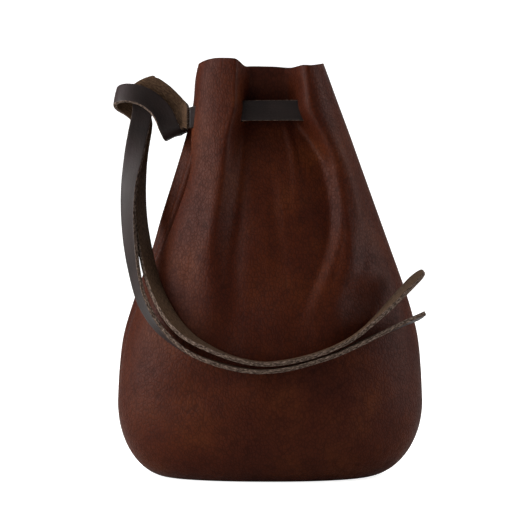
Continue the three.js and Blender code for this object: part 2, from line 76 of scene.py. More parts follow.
# Rows: across, out and height as shares of the sizes above, then the direction edge to edge.
GRAIN_TAIL = np.array([
    [-0.53, -0.281, 0.86, 0.0, 0.0, 1.0],
    [-0.553, -0.244, 0.865, 0.25, 0.0, 0.97],
    [-0.584, -0.167, 0.879, 0.6, 0.0, 0.8],
    [-0.632, -0.139, 0.898, 0.65, 0.0, 0.76],
    [-0.688, -0.128, 0.919, 0.5, 0.0, 0.86],
    [-0.748, -0.119, 0.935, 0.62, 0.0, 0.78],
    [-0.806, -0.111, 0.944, 0.88, 0.0, 0.47],
    [-0.834, -0.094, 0.948, 0.88, 0.0, 0.47],
    [-0.842, -0.075, 0.946, 0.88, 0.0, 0.47],
    [-0.844, -0.056, 0.943, 0.88, 0.0, 0.47],
    [-0.845, -0.039, 0.933, 0.88, 0.0, 0.47],
    [-0.839, -0.033, 0.913, 0.97, 0.0, 0.24],
    [-0.837, -0.036, 0.885, 1.0, 0.0, 0.0],
    [-0.85, -0.039, 0.858, 0.98, 0.0, -0.18],
    [-0.877, -0.056, 0.807, 0.98, -0.1, -0.15],
    [-0.9, -0.111, 0.75, 0.91, -0.4, -0.02],
    [-0.918, -0.194, 0.696, 0.77, -0.61, 0.17],
    [-0.918, -0.306, 0.628, 0.67, -0.68, 0.29],
    [-0.898, -0.456, 0.557, 0.57, -0.72, 0.41],
    [-0.854, -0.644, 0.475, 0.37, -0.77, 0.51],
    [-0.809, -0.783, 0.425, 0.27, -0.81, 0.53],
    [-0.72, -0.889, 0.371, 0.11, -0.89, 0.44],
    [-0.617, -0.972, 0.335, -0.1, -0.94, 0.33],
    [-0.503, -1.039, 0.307, -0.22, -0.96, 0.17],
    [-0.395, -1.089, 0.291, -0.22, -0.97, 0.08],
    [-0.283, -1.119, 0.278, -0.14, -0.99, 0.03],
    [-0.14, -1.139, 0.268, -0.09, -1.0, 0.01],
    [-0.023, -1.144, 0.267, 0.01, -1.0, 0.0],
    [0.109, -1.139, 0.273, 0.11, -0.99, 0.02],
    [0.238, -1.119, 0.285, 0.19, -0.98, 0.05],
    [0.383, -1.078, 0.301, 0.25, -0.97, 0.09],
    [0.503, -1.022, 0.319, 0.28, -0.95, 0.12],
    [0.605, -0.956, 0.336, 0.31, -0.94, 0.14],
    [0.709, -0.872, 0.353, 0.31, -0.93, 0.2],
    [0.821, -0.772, 0.37, 0.3, -0.92, 0.28],
    [0.975, -0.622, 0.392, 0.3, -0.92, 0.33],
])
FLESH_TAIL = np.array([
    [-0.551, 0.053, 0.858, 0.0, 0.0, -1.0],
    [-0.576, 0.022, 0.852, -0.45, 0.0, -0.89],
    [-0.605, -0.008, 0.836, -0.84, 0.0, -0.54],
    [-0.622, -0.067, 0.824, -0.9, 0.0, -0.43],
    [-0.627, -0.144, 0.821, -0.9, 0.0, -0.43],
    [-0.638, -0.222, 0.824, -0.9, 0.0, -0.43],
    [-0.66, -0.281, 0.841, -0.88, -0.06, -0.46],
    [-0.697, -0.261, 0.873, -0.77, -0.33, -0.54],
    [-0.77, -0.242, 0.901, -0.49, -0.37, -0.79],
    [-0.852, -0.233, 0.917, -0.3, -0.38, -0.88],
    [-0.931, -0.211, 0.922, -0.15, -0.38, -0.91],
    [-0.985, -0.15, 0.92, -0.15, -0.38, -0.91],
    [-1.005, -0.075, 0.914, -0.15, -0.37, -0.92],
    [-0.985, -0.006, 0.905, -0.2, -0.3, -0.93],
    [-0.934, 0.036, 0.896, -0.35, -0.15, -0.92],
    [-0.878, 0.05, 0.881, -0.64, -0.05, -0.77],
    [-0.842, 0.056, 0.859, -0.91, 0.0, -0.41],
    [-0.849, 0.061, 0.825, -0.9, -0.4, 0.05],
    [-0.859, 0.064, 0.788, -0.72, -0.69, 0.05],
    [-0.858, 0.04, 0.744, -0.48, -0.87, 0.12],
    [-0.857, -0.055, 0.697, -0.45, -0.84, 0.29],
    [-0.847, -0.2, 0.629, -0.52, -0.79, 0.32],
    [-0.812, -0.4, 0.557, -0.6, -0.74, 0.3],
    [-0.753, -0.635, 0.475, -0.64, -0.73, 0.25],
    [-0.691, -0.8, 0.426, -0.64, -0.76, 0.12],
    [-0.622, -0.9, 0.385, -0.57, -0.82, -0.03],
    [-0.541, -0.978, 0.353, -0.47, -0.88, -0.06],
    [-0.459, -1.044, 0.332, -0.36, -0.93, -0.02],
    [-0.283, -1.117, 0.302, -0.18, -0.98, 0.06],
    [-0.146, -1.139, 0.288, -0.1, -0.99, 0.02],
    [-0.028, -1.144, 0.283, 0.01, -1.0, 0.0],
    [0.102, -1.139, 0.288, 0.11, -0.99, 0.02],
    [0.238, -1.119, 0.299, 0.19, -0.98, 0.05],
    [0.37, -1.078, 0.315, 0.27, -0.96, 0.1],
    [0.465, -1.033, 0.331, 0.31, -0.94, 0.15],
    [0.543, -0.983, 0.348, 0.29, -0.94, 0.18],
    [0.62, -0.922, 0.37, 0.28, -0.94, 0.22],
    [0.715, -0.822, 0.401, 0.36, -0.91, 0.15],
    [0.817, -0.711, 0.438, 0.43, -0.88, 0.06],
    [0.974, -0.542, 0.495, 0.45, -0.87, 0.02],
])


def lace_route(rows):
    """Points and edge directions along a lace. The points are a Catmull-Rom curve through the
    rows with knots spaced by the square root of distance, and the edge directions turn evenly
    from row to row. Both are then averaged with their neighbours, which takes out kinks."""
    spots = rows[:, :3]
    spots = np.vstack([2 * spots[0] - spots[1], spots, 2 * spots[-1] - spots[-2]])
    gaps = np.linalg.norm(np.diff(spots, axis=0), axis=1)[:, None] ** 0.5
    before, here, there, after = spots[:-3], spots[1:-2], spots[2:-1], spots[3:]
    gap_before, gap, gap_after = gaps[:-2], gaps[1:-1], gaps[2:]
    step = there - here
    leave = gap * ((here - before) / gap_before - (there - before) / (gap_before + gap)) + step
    reach = gap * ((after - there) / gap_after - (after - here) / (gap + gap_after)) + step
    here, leave, reach, step = (part[:, None, :] for part in (here, leave, reach, step))
    t = (np.arange(STEPS_PER_ROW) / STEPS_PER_ROW)[None, :, None]
    curve = here + leave * t + (3 * step - 2 * leave - reach) * t**2
    curve = curve + (leave + reach - 2 * step) * t**3
    points = np.vstack([curve.reshape(-1, 3), rows[-1:, :3]])
    place = np.linspace(0, len(rows) - 1, len(points))
    known = np.arange(len(rows))
    edge = np.stack([np.interp(place, known, rows[:, k]) for k in (3, 4, 5)], axis=1)
    for _ in range(2 * STEPS_PER_ROW):
        points[1:-1] = (points[:-2] + 2 * points[1:-1] + points[2:]) / 4
        edge[1:-1] = (edge[:-2] + 2 * edge[1:-1] + edge[2:]) / 4
    return points, edge / np.linalg.norm(edge, axis=1)[:, None]


def lace_section(margin=0.0):
    """Outline of the lace's section, (through, across) pairs round a rectangle with quarter-round
    corners, closed on its first point. After the first corner its sides follow in the order cut
    edge, grain face, cut edge, flesh face. Parts are 0 for grain, 1 for flesh, 2 for cut edge."""
    half = np.array([LACE_THICKNESS, LACE_WIDTH]) / 2 + margin - LACE_CORNER
    corners = half * np.array([[1, 1], [-1, 1], [-1, -1], [1, -1]])
    turn = np.linspace(0, np.pi / 2, CORNER_POINTS) + np.pi / 2 * np.arange(4)[:, None]
    arcs = corners[:, None] + LACE_CORNER * np.stack([np.cos(turn), np.sin(turn)], axis=2)
    arcs = np.vstack([arcs.reshape(-1, 2), arcs[0, :1]])
    known = np.arange(len(arcs))
    one_edge, grain, other_edge, flesh = CORNER_POINTS * np.arange(1, 5) - 1
    faces = np.arange(FACE_STEPS) / FACE_STEPS
    edges = np.arange(EDGE_STEPS) / EDGE_STEPS
    place = np.unique(np.concatenate([known, one_edge + edges, grain + faces,
                                      other_edge + edges, flesh + faces]))
    outline = np.stack([np.interp(place, known, arcs[:, k]) for k in (0, 1)], axis=1)
    middle = (place[1:] + place[:-1]) / 2
    part = np.where(np.abs(middle - grain - 0.5) < FACE_REACH, 0, 2)
    part = np.where(np.abs(middle - flesh - 0.5) < FACE_REACH, 1, part)
    part = np.where(middle < FACE_REACH - 0.5, 1, part)
    return outline, part


def make_piece(name, points, faces, parts, materials):
    """Mesh object from arrays of points and faces, with the number of each face's material, the
    whole shaded smooth."""
    mesh = bpy.data.meshes.new(name)
    mesh.from_pydata(points.tolist(), [], faces)
    for material in materials:
        mesh.materials.append(material)
    mesh.polygons.foreach_set("material_index", np.asarray(parts, dtype=np.int32))
    mesh.shade_smooth()
    mesh.update()
    piece = bpy.data.objects.new(name, mesh)
    bpy.context.scene.collection.objects.link(piece)
    return piece


def lace_piece(name, points, edge, width, cup, materials, margin=0.0):
    """Flat band along a route. At each point the section stands across the route: through is
    edge x tangent and across is the edge direction, lengthened by at most a third where it leans
    so that the band keeps its width. width scales it at each point, and cup lifts its middle
    through by a parabola. The UV map runs in metres along the band, then round its section."""
    tangent = np.gradient(points, axis=0)
    tangent = tangent / np.linalg.norm(tangent, axis=1)[:, None]
    face = np.cross(edge, tangent)
    lean = np.linalg.norm(face, axis=1)[:, None]
    across = edge / np.maximum(lean, LEAST_LEAN) * width[:, None]
    outline, side_part = lace_section(margin)
    sides = len(side_part)
    ring = outline[:-1]
    bow = cup[:, None, None] * (1 - (ring[None, :, 1:] / ring[:, 1].max()) ** 2)
    body = points[:, None] + (face / lean)[:, None] * (ring[None, :, :1] + bow)
    body = body + across[:, None] * ring[None, :, 1:]
    steps = len(points) - 1
    i, j = np.meshgrid(np.arange(steps), np.arange(sides), indexing="ij")
    after = (j + 1) % sides
    quads = np.stack([i * sides + j, i * sides + after, (i + 1) * sides + after,
                      (i + 1) * sides + j], axis=2).reshape(-1, 4)
    first = np.arange(sides)
    second = (first + 1) % sides
    start = len(body) * sides
    caps = np.vstack([np.stack([first * 0 + start, second, first], axis=1),
                      np.stack([first * 0 + start + 1, first + steps * sides,
                                second + steps * sides], axis=1)])
    every = np.vstack([body.reshape(-1, 3), points[:1], points[-1:]])
    parts = np.concatenate([np.tile(side_part, steps), np.full(len(caps), 2)])
    piece = make_piece(name, every, quads.tolist() + caps.tolist(), parts, materials)
    along = np.concatenate([[0], np.cumsum(np.linalg.norm(np.diff(points, axis=0), axis=1))])
    round_it = np.linalg.norm(np.diff(outline, axis=0), axis=1)
    round_it = np.concatenate([[0], np.cumsum(round_it)])
    u = np.stack([along[i], along[i], along[i + 1], along[i + 1]], axis=2)
    v = np.stack([round_it[j], round_it[j + 1], round_it[j + 1], round_it[j]], axis=2)
    quad_uv = np.stack([u, v], axis=3).reshape(-1, 2)
    middle = np.zeros((sides, 2))
    cap_uv = np.stack([middle, outline[1:], outline[:-1]], axis=1).reshape(-1, 2)
    layer = piece.data.uv_layers.new(name="along_the_lace")
    layer.data.foreach_set("uv", np.vstack([quad_uv, cap_uv, cap_uv]).ravel())
    return piece


def linear(colour):
    """An sRGB hex colour as linear red, green, blue and 1: c / 12.92 up to 0.04045, and
    ((c + 0.055) / 1.055) to the power 2.4 above it."""
    values = np.array([int(colour[k:k + 2], 16) for k in (1, 3, 5)]) / 255
    curve = np.where(values <= 0.04045, values / 12.92, ((values + 0.055) / 1.055) ** 2.4)
    return (*curve.tolist(), 1.0)


def add_node(tree, kind, inputs=(), **settings):
    """A new node with its own settings, and its sockets by name or number, each set to a value
    or linked from another node's output."""
    made = tree.nodes.new(kind)
    for key, value in settings.items():
        setattr(made, key, value)
    for key, value in dict(inputs).items():
        if isinstance(value, bpy.types.NodeSocket):
            tree.links.new(value, made.inputs[key])
        else:
            made.inputs[key].default_value = value
    return made


def colour_steps(ramp, steps):
    """Sets a colour ramp's stops from (place, sRGB hex) pairs."""
    stops = ramp.color_ramp.elements
    while len(stops) < len(steps):
        stops.new(0.5)
    for stop, (place, colour) in zip(stops, steps):
        stop.position = place
        stop.color = linear(colour)


def new_leather(name):
    """An empty material with its output, its node tree and its principled shader."""
    material = bpy.data.materials.new(name)
    material.use_nodes = True
    tree = material.node_tree
    tree.nodes.clear()
    shader = add_node(tree, "ShaderNodeBsdfPrincipled")
    add_node(tree, "ShaderNodeOutputMaterial", {"Surface": shader.outputs["BSDF"]})
    return material, tree, shader


LACE_CLOUD = 0.015
LACE_PORE = 0.0006
SCUFF_LENGTH = 0.02
SCUFF_WIDTH = 0.0008


def smooth_grain(name, shades, roughness, gloss):
    """Finished grain face of a lace: drum-dyed and plated, so it is even and satin, with fine
    pores about 0.6 mm apart, clouds of dye about 15 mm wide and scuffs along its length. The
    pores of such hide are finer, and are drawn as coarse as they need to show."""
    material, tree, shader = new_leather(name)
    coords = add_node(tree, "ShaderNodeTexCoord")
    clouds = add_node(tree, "ShaderNodeTexNoise",
                      {"Vector": coords.outputs["Object"], "Scale": 1 / LACE_CLOUD,
                       "Detail": 3.0})
    ramp = add_node(tree, "ShaderNodeValToRGB", {"Fac": clouds.outputs["Fac"]})
    colour_steps(ramp, shades)
    tree.links.new(ramp.outputs["Color"], shader.inputs["Base Color"])
    pores = add_node(tree, "ShaderNodeTexVoronoi",
                     {"Vector": coords.outputs["Object"], "Scale": 1 / LACE_PORE},
                     feature="SMOOTH_F1")
    stretch = add_node(tree, "ShaderNodeMapping",
                       {"Vector": coords.outputs["UV"],
                        "Scale": (1 / SCUFF_LENGTH, 1 / SCUFF_WIDTH, 1.0)})
    scuffs = add_node(tree, "ShaderNodeTexNoise",
                      {"Vector": stretch.outputs["Vector"], "Scale": 1.0, "Detail": 2.0})
    relief = add_node(tree, "ShaderNodeMath",
                      {0: pores.outputs["Distance"], 1: scuffs.outputs["Fac"]}, operation="ADD")
    bump = add_node(tree, "ShaderNodeBump",
                    {"Height": relief.outputs["Value"], "Strength": 0.5, "Distance": 0.00012})
    tree.links.new(bump.outputs["Normal"], shader.inputs["Normal"])
    sheen = add_node(tree, "ShaderNodeMapRange",
                     {"Value": scuffs.outputs["Fac"], "To Min": roughness - 0.06,
                      "To Max": roughness + 0.08})
    tree.links.new(sheen.outputs["Result"], shader.inputs["Roughness"])
    shader.inputs["Specular IOR Level"].default_value = gloss
    return material


def raw_fibre(name, shades, fibre, relief_depth, source):
    """Raw leather, flesh face or cut edge: matt bundles of fibre, drawn as noise as wide as the
    fibre's size in metres and three times as long, with dark pits between them."""
    material, tree, shader = new_leather(name)
    coords = add_node(tree, "ShaderNodeTexCoord")
    stretch = add_node(tree, "ShaderNodeMapping",
                       {"Vector": coords.outputs[source],
                        "Scale": (1 / (3 * fibre), 1 / fibre, 1 / fibre)})
    tufts = add_node(tree, "ShaderNodeTexNoise",
                     {"Vector": stretch.outputs["Vector"], "Scale": 1.0, "Detail": 4.0,
                      "Roughness": 0.65})
    ramp = add_node(tree, "ShaderNodeValToRGB", {"Fac": tufts.outputs["Fac"]})
    colour_steps(ramp, shades)
    tree.links.new(ramp.outputs["Color"], shader.inputs["Base Color"])
    bump = add_node(tree, "ShaderNodeBump",
                    {"Height": tufts.outputs["Fac"], "Strength": 0.8, "Distance": relief_depth})
    tree.links.new(bump.outputs["Normal"], shader.inputs["Normal"])
    shader.inputs["Roughness"].default_value = 0.9
    shader.inputs["Specular IOR Level"].default_value = 0.15
    return material


lace_grain = smooth_grain("plated_lace_grain", [(0.3, "#1e1716"), (0.5, "#261d1b"),
                                                (0.7, "#2f2424")], 0.48, 0.22)
lace_flesh = raw_fibre("raw_lace_flesh", [(0.3, "#2b1f14"), (0.5, "#493526"),
                                          (0.64, "#5b4532"), (0.82, "#755d46")],
                       0.0005, 0.0002, "UV")
lace_edge = raw_fibre("cut_lace_edge", [(0.34, "#1a1310"), (0.47, "#43352c"),
                                        (0.6, "#7b685c"), (0.75, "#a5938a")],
                      0.0005, 0.0002, "UV")
lace_leather = [lace_grain, lace_flesh, lace_edge]

ORIGIN_SIZES = np.array([HALF_WIDTH, HALF_DEPTH, HEIGHT])


def free_end(name, node, table, tip, bend, bow):
    """A free end from its rows, its width drawn in over the last stretch tip to a rounded point,
    as the square root of 1 - TIP_DRAW x share squared, or cut square where tip is 0. Its middle
    is cupped by bow more where it folds over in the knot, at row bend."""
    points, edge = lace_route(np.hstack([table[:, :3] * ORIGIN_SIZES, table[:, 3:]]))
    steps = np.linalg.norm(np.diff(points, axis=0), axis=1)
    left = np.concatenate([np.cumsum(steps[::-1])[::-1], [0]])
    drawn = np.clip(1 - left / max(tip, 1e-6), 0, 1)
    width = np.sqrt(1 - TIP_DRAW * drawn**2)
    fray = np.random.default_rng(4).normal(0, 1, len(points))
    fray = 1 + WIDTH_FRAY * np.convolve(fray, np.ones(3) / 3, mode="same")
    from_fold = np.arange(len(points)) / STEPS_PER_ROW - bend
    near_fold = np.clip(1 - (from_fold / FOLD_ROWS) ** 2, 0, 1)
    cup = LACE_CUP + bow * near_fold**2
    piece = lace_piece(name, points, edge, width * fray, cup, lace_leather)
    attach(piece, "root")
    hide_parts(node)


free_end("free_end_grain_out", "lace_tail_grain", GRAIN_TAIL, 0.0, 8.3, 0.0009)
free_end("free_end_flesh_out", "lace_tail_flesh", FLESH_TAIL, 0.006, 11.5, -0.0003)

# The threaded stretch of the lace
# The middle of the same strip, drawn tight through six slits round the neck. It shows grain
# face out in the hollow of the front and of the back.
# Rows of the bag's wall: height as a share of HEIGHT, then left and right of HALF_WIDTH, front
# and back of HALF_DEPTH, and the exponent of the oval, where 2 is an ellipse.
WALL = np.array([
    [0.18, 1.0, 1.0, 0.99, 0.99, 2.2],
    [0.26, 0.99, 0.99, 1.0, 1.0, 2.2],
    [0.34, 0.962, 0.968, 0.985, 0.985, 2.2],
    [0.41, 0.907, 0.92, 0.95, 0.95, 2.2],
    [0.47, 0.85, 0.868, 0.91, 0.91, 2.2],
    [0.55, 0.772, 0.79, 0.85, 0.85, 2.25],
    [0.63, 0.71, 0.712, 0.79, 0.79, 2.3],
    [0.745, 0.612, 0.6, 0.7, 0.7, 2.4],
    [0.825, 0.55, 0.522, 0.64, 0.64, 2.6],
    [0.9, 0.507, 0.445, 0.6, 0.6, 3.0],
    [0.96, 0.493, 0.385, 0.59, 0.59, 3.1],
    [1.0, 0.472, 0.345, 0.585, 0.585, 3.0],
])
BASE_TURN = 0.03
BASE_LEFT = 0.0405
BASE_RIGHT = 0.0375
BASE_HALF_DEPTH = 0.021

# Rows: across and out as shares of the bag's own half-width and half-depth there, and height.
THREADING = np.array([
    [-0.985, -0.47, 0.861],
    [-0.87, -0.5, 0.866],
    [-0.66, -0.55, 0.872],
    [-0.4, -0.59, 0.876],
    [0.0, -0.61, 0.877],
    [0.44, -0.6, 0.877],
    [0.58, -0.54, 0.876],
    [0.67, -0.34, 0.876],
    [0.69, 0.0, 0.876],
    [0.66, 0.32, 0.876],
    [0.56, 0.53, 0.876],
    [0.4, 0.6, 0.876],
    [0.0, 0.62, 0.876],
    [-0.3, 0.6, 0.876],
    [-0.56, 0.54, 0.873],
    [-0.8, 0.38, 0.868],
    [-0.95, 0.2, 0.863],
    [-1.025, 0.12, 0.86],
])


def column(table, at, index):
    """One column of a table at the given heights: a cubic through its rows, whose slope at each
    row is that between the row's two neighbours."""
    heights, values = table[:, 0], table[:, index]
    rows = np.arange(len(heights))
    before, after = np.maximum(rows - 1, 0), np.minimum(rows + 1, rows[-1])
    slope = (values[after] - values[before]) / (heights[after] - heights[before])
    low = np.clip(np.searchsorted(heights, at, side="right") - 1, 0, len(heights) - 2)
    step = heights[low + 1] - heights[low]
    t = np.clip((at - heights[low]) / step, 0, 1)
    level = values[low] * (1 + 2 * t) * (1 - t) ** 2 + values[low + 1] * t**2 * (3 - 2 * t)
    return level + step * (slope[low] * t * (1 - t) ** 2 - slope[low + 1] * t**2 * (1 - t))


def oval(z):
    """Left, right, front and back reach of the bag and the oval's exponent at height z. Under
    BASE_TURN each reach shrinks to the base's along a quarter of an ellipse."""
    at = z / HEIGHT
    turned = np.sqrt(np.clip(1 - (1 - np.minimum(z, BASE_TURN) / BASE_TURN) ** 2, 0, 1))
    bases = (BASE_LEFT, BASE_RIGHT, BASE_HALF_DEPTH, BASE_HALF_DEPTH)
    sizes = (HALF_WIDTH, HALF_WIDTH, HALF_DEPTH, HALF_DEPTH)
    reach = [base + (size * column(WALL, at, k + 1) - base) * turned
             for k, (base, size) in enumerate(zip(bases, sizes))]
    return (*reach, column(WALL, at, 5))


def threading_rows():
    """The threaded rows in metres, each with its edge direction straight up."""
    z = HEIGHT * THREADING[:, 2]
    left, right, front, back, _ = oval(z)
    x = THREADING[:, 0] * np.where(THREADING[:, 0] < 0, left, right)
    y = THREADING[:, 1] * np.where(THREADING[:, 1] < 0, front, back)
    return np.stack([x, y, z, 0 * z, 0 * z, 0 * z + 1], axis=1)


neck_points, neck_edge = lace_route(threading_rows())
even = np.ones(len(neck_points))
neck_lace = lace_piece("threaded_lace", neck_points, neck_edge, even, 0 * even, lace_leather)
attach(neck_lace, "root")
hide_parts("neck_lace")

# The front panel
# One piece of thick pebbled cowhide, sewn to the back panel face to face along its sides and
# base and turned, so that its edge rolls inwards. The tight lace gathers its top into folds.
LEATHER = 0.0016
SEAM_ROLL = 0.0022
SEAM_ALLOWANCE = 0.004
SEAM_GAP = 0.0003
SLIT_CLEARANCE = 0.00025
SLIT_RUN_OUT = 6
SHARP_ANGLE = 45
# The ridge's reach is a share of HALF_WIDTH, and that of the step between the panels a share of
# HALF_DEPTH. The step fades in over STEP_FADE of the way from the middle to the side. The rim
# sags by RIM_SAG of the valley's depth, and SLACK_FADE sets how far the slack fades at both ends.
RIDGE_REACH = 0.095
STEP_REACH = 0.2
STEP_FADE = 0.4
RIM_SAG = 0.2
SLACK_FADE = 0.8
# Columns and rows of a panel's grid, and rings of points in its rolled edge and its allowance.
COLUMNS = 240
UNDERSIDE_ROWS = 10
TURN_ROWS = 30
WALL_ROWS = 126
ROLL_RINGS = 6
ALLOWANCE_RINGS = 3
# The cut edge: depths of its strips as shares of LEATHER, and how far its middle stands out.
STRIP_DEPTHS = (0.12, 0.35, 0.65, 0.88)
CUT_CROWN = 0.00022

# Rows: height, left wall and its width, right wall and its width, depth, ridge beside it.
FRONT_VALLEY = np.array([
    [0.3, -0.28, 0.26, 0.23, 0.26, 0.0, 0.0],
    [0.39, -0.3, 0.24, 0.25, 0.23, 0.045, 0.015],
    [0.48, -0.31, 0.22, 0.345, 0.18, 0.1, 0.04],
    [0.6, -0.325, 0.2, 0.43, 0.15, 0.165, 0.055],
    [0.74, -0.295, 0.18, 0.39, 0.16, 0.235, 0.05],
    [0.8, -0.25, 0.16, 0.315, 0.16, 0.3, 0.04],
    [0.875, -0.183, 0.13, 0.19, 0.19, 0.4, 0.025],
    [0.93, -0.178, 0.12, 0.175, 0.19, 0.37, 0.02],
    [1.0, -0.181, 0.105, 0.165, 0.19, 0.27, 0.01],
])
BACK_VALLEY = np.array([
    [0.34, -0.2, 0.26, 0.3, 0.26, 0.0, 0.0],
    [0.45, -0.22, 0.22, 0.3, 0.24, 0.05, 0.0],
    [0.6, -0.24, 0.18, 0.3, 0.2, 0.12, 0.02],
    [0.74, -0.22, 0.2, 0.28, 0.2, 0.2, 0.03],
    [0.875, -0.18, 0.18, 0.21, 0.18, 0.34, 0.02],
    [1.0, -0.18, 0.19, 0.19, 0.19, 0.27, 0.01],
])
# Rows: height, out, depth of the fold at the seam, its reach, step between the panels.
LEFT_SEAM = np.array([
    [0.0, 0.0, 0.0, 0.18, 0.0],
    [0.18, -0.1, 0.0, 0.18, 0.0],
    [0.3, -0.15, 0.01, 0.16, 0.005],
    [0.41, -0.18, 0.03, 0.15, 0.01],
    [0.52, -0.2, 0.05, 0.14, 0.024],
    [0.6, -0.21, 0.068, 0.14, 0.05],
    [0.68, -0.21, 0.08, 0.14, 0.062],
    [0.745, -0.2, 0.088, 0.14, 0.055],
    [0.81, -0.16, 0.1, 0.14, 0.018],
    [0.88, -0.11, 0.115, 0.15, 0.0],
    [1.0, -0.1, 0.11, 0.15, 0.0],
])
RIGHT_SEAM = np.array([
    [0.0, 0.0, 0.0, 0.15, 0.0],
    [0.3, 0.07, 0.0, 0.15, 0.0],
    [0.6, 0.08, 0.008, 0.15, 0.0],
    [1.0, 0.08, 0.015, 0.15, 0.0],
])
# Rows: across, height, half-width, half-height, depth of a soft dent in the front.
DENTS = np.array([
    [0.6, 0.43, 0.27, 0.065, 0.055],
    [0.1, 0.33, 0.3, 0.07, 0.02],
    [-0.35, 0.22, 0.3, 0.06, 0.02],
])
# Rows: share of the panel from left to right, drop of the rim.
RIM = np.array([
    [0.0, 0.012],
    [0.22, 0.002],
    [0.33, 0.003],
    [0.39, 0.006],
    [0.47, 0.007],
    [0.55, 0.012],
    [0.62, 0.016],
    [0.68, 0.019],
    [0.76, 0.016],
    [0.88, 0.01],
    [1.0, 0.004],
])

# Small folds of each panel. Rows: height, across, half-width, out (a groove is less than 0).
FRONT_FOLDS = [
    np.array([[0.58, 0.17, 0.05, 0.0], [0.69, 0.168, 0.045, 0.008], [0.78, 0.143, 0.04, 0.014],
              [0.84, 0.105, 0.035, 0.012], [0.87, 0.09, 0.03, 0.0]]),
    np.array([[0.56, 0.3, 0.12, 0.0], [0.67, 0.3, 0.11, -0.014],
              [0.76, 0.27, 0.1, -0.014], [0.84, 0.2, 0.08, 0.0]]),
    np.array([[0.36, 0.24, 0.07, 0.0], [0.44, 0.3, 0.06, 0.01], [0.52, 0.39, 0.055, 0.014],
              [0.62, 0.435, 0.05, 0.01], [0.7, 0.43, 0.05, 0.0]]),
    np.array([[0.38, -0.47, 0.1, 0.0], [0.5, -0.455, 0.09, 0.018],
              [0.6, -0.435, 0.08, 0.028], [0.72, -0.4, 0.07, 0.016], [0.82, -0.36, 0.06, 0.0]]),
    np.array([[0.3, -0.28, 0.14, 0.0], [0.42, -0.285, 0.14, -0.018],
              [0.54, -0.29, 0.14, -0.02], [0.66, -0.31, 0.13, -0.016],
              [0.76, -0.27, 0.12, -0.01], [0.83, -0.22, 0.11, 0.0]]),
    np.array([[0.45, 0.62, 0.09, 0.0], [0.56, 0.57, 0.07, -0.014],
              [0.68, 0.5, 0.06, -0.016], [0.8, 0.4, 0.05, 0.0]]),
    np.array([[0.44, 0.08, 0.1, 0.0], [0.52, 0.06, 0.08, -0.01], [0.62, 0.03, 0.06, -0.012],
              [0.74, 0.01, 0.05, 0.0]]),
]
BACK_FOLDS = [
    np.array([[0.4, -0.42, 0.09, 0.0], [0.52, -0.41, 0.07, -0.016],
              [0.66, -0.36, 0.06, -0.02], [0.8, -0.3, 0.05, 0.0]]),
    np.array([[0.36, 0.46, 0.1, 0.0], [0.5, 0.45, 0.08, -0.016], [0.64, 0.4, 0.06, -0.022],
              [0.8, 0.32, 0.05, 0.0]]),
    np.array([[0.5, 0.02, 0.07, 0.0], [0.62, 0.04, 0.06, 0.014], [0.74, 0.03, 0.05, 0.016],
              [0.86, 0.01, 0.04, 0.0]]),
    np.array([[0.46, -0.6, 0.08, 0.0], [0.58, -0.54, 0.06, 0.012], [0.7, -0.48, 0.06, 0.012],
              [0.82, -0.4, 0.05, 0.0]]),
    np.array([[0.5, 0.66, 0.08, 0.0], [0.6, 0.6, 0.06, 0.012], [0.7, 0.53, 0.06, 0.014],
              [0.82, 0.42, 0.05, 0.0]]),
]
# Slack waves over the whole bag. Rows: waves across HALF_WIDTH, waves up HEIGHT, phase, height.
SLACK = np.array([
    [0.9, 2.2, 0.3, 0.00022],
    [-1.3, 3.1, 1.9, 0.00018],
    [2.1, -1.7, 4.0, 0.00014],
    [-2.4, 4.6, 2.6, 0.00010],
    [3.3, 2.9, 5.2, 0.00007],
    [-3.9, -5.3, 0.9, 0.00005],
])


def rise(q):
    """Smooth step from 0 at q = -0.5 to 1 at q = 0.5, level at both ends: t cubed times
    (6 t squared - 15 t + 10), where t is q + 0.5."""
    t = np.clip(q + 0.5, 0, 1)
    return t**3 * (t * (6 * t - 15) + 10)


def hump(q):
    """Smooth hump, (1 - q squared) squared inside q = -1 to 1 and 0 outside."""
    return np.clip(1 - q**2, 0, 1) ** 2


def valley(table, x, z):
    """Inward push of a gathered valley: its depth between its two walls, less the ridge that
    stands just right of it."""
    left_wall, left_width, right_wall, right_width, depth, ridge = (
        column(table, z / HEIGHT, k) for k in range(1, 7))
    inside = rise((x / HALF_WIDTH - left_wall) / left_width)
    inside = inside * (1 - rise((x / HALF_WIDTH - right_wall) / right_width))
    crest = right_wall + right_width / 2 + RIDGE_REACH / 2
    return HALF_DEPTH * (depth * inside - ridge * hump((x / HALF_WIDTH - crest) / RIDGE_REACH))


def small_relief(side, x, z):
    """Outward rise of the small folds and of the slack: humps along each fold's line, and a sum
    of slanting cosine waves that fades towards the base and the rim."""
    relief = 0 * x
    for fold in FRONT_FOLDS if side < 0 else BACK_FOLDS:
        line, reach, out = (column(fold, z / HEIGHT, k) for k in (1, 2, 3))
        relief = relief + HALF_DEPTH * out * hump((x / HALF_WIDTH - line) / reach)
    for across, up, phase, size in SLACK:
        wave = np.cos(2 * np.pi * (across * x / HALF_WIDTH + up * z / HEIGHT) + phase + side)
        relief = relief + size * wave * hump(2 * SLACK_FADE * z / HEIGHT - SLACK_FADE)
    return relief


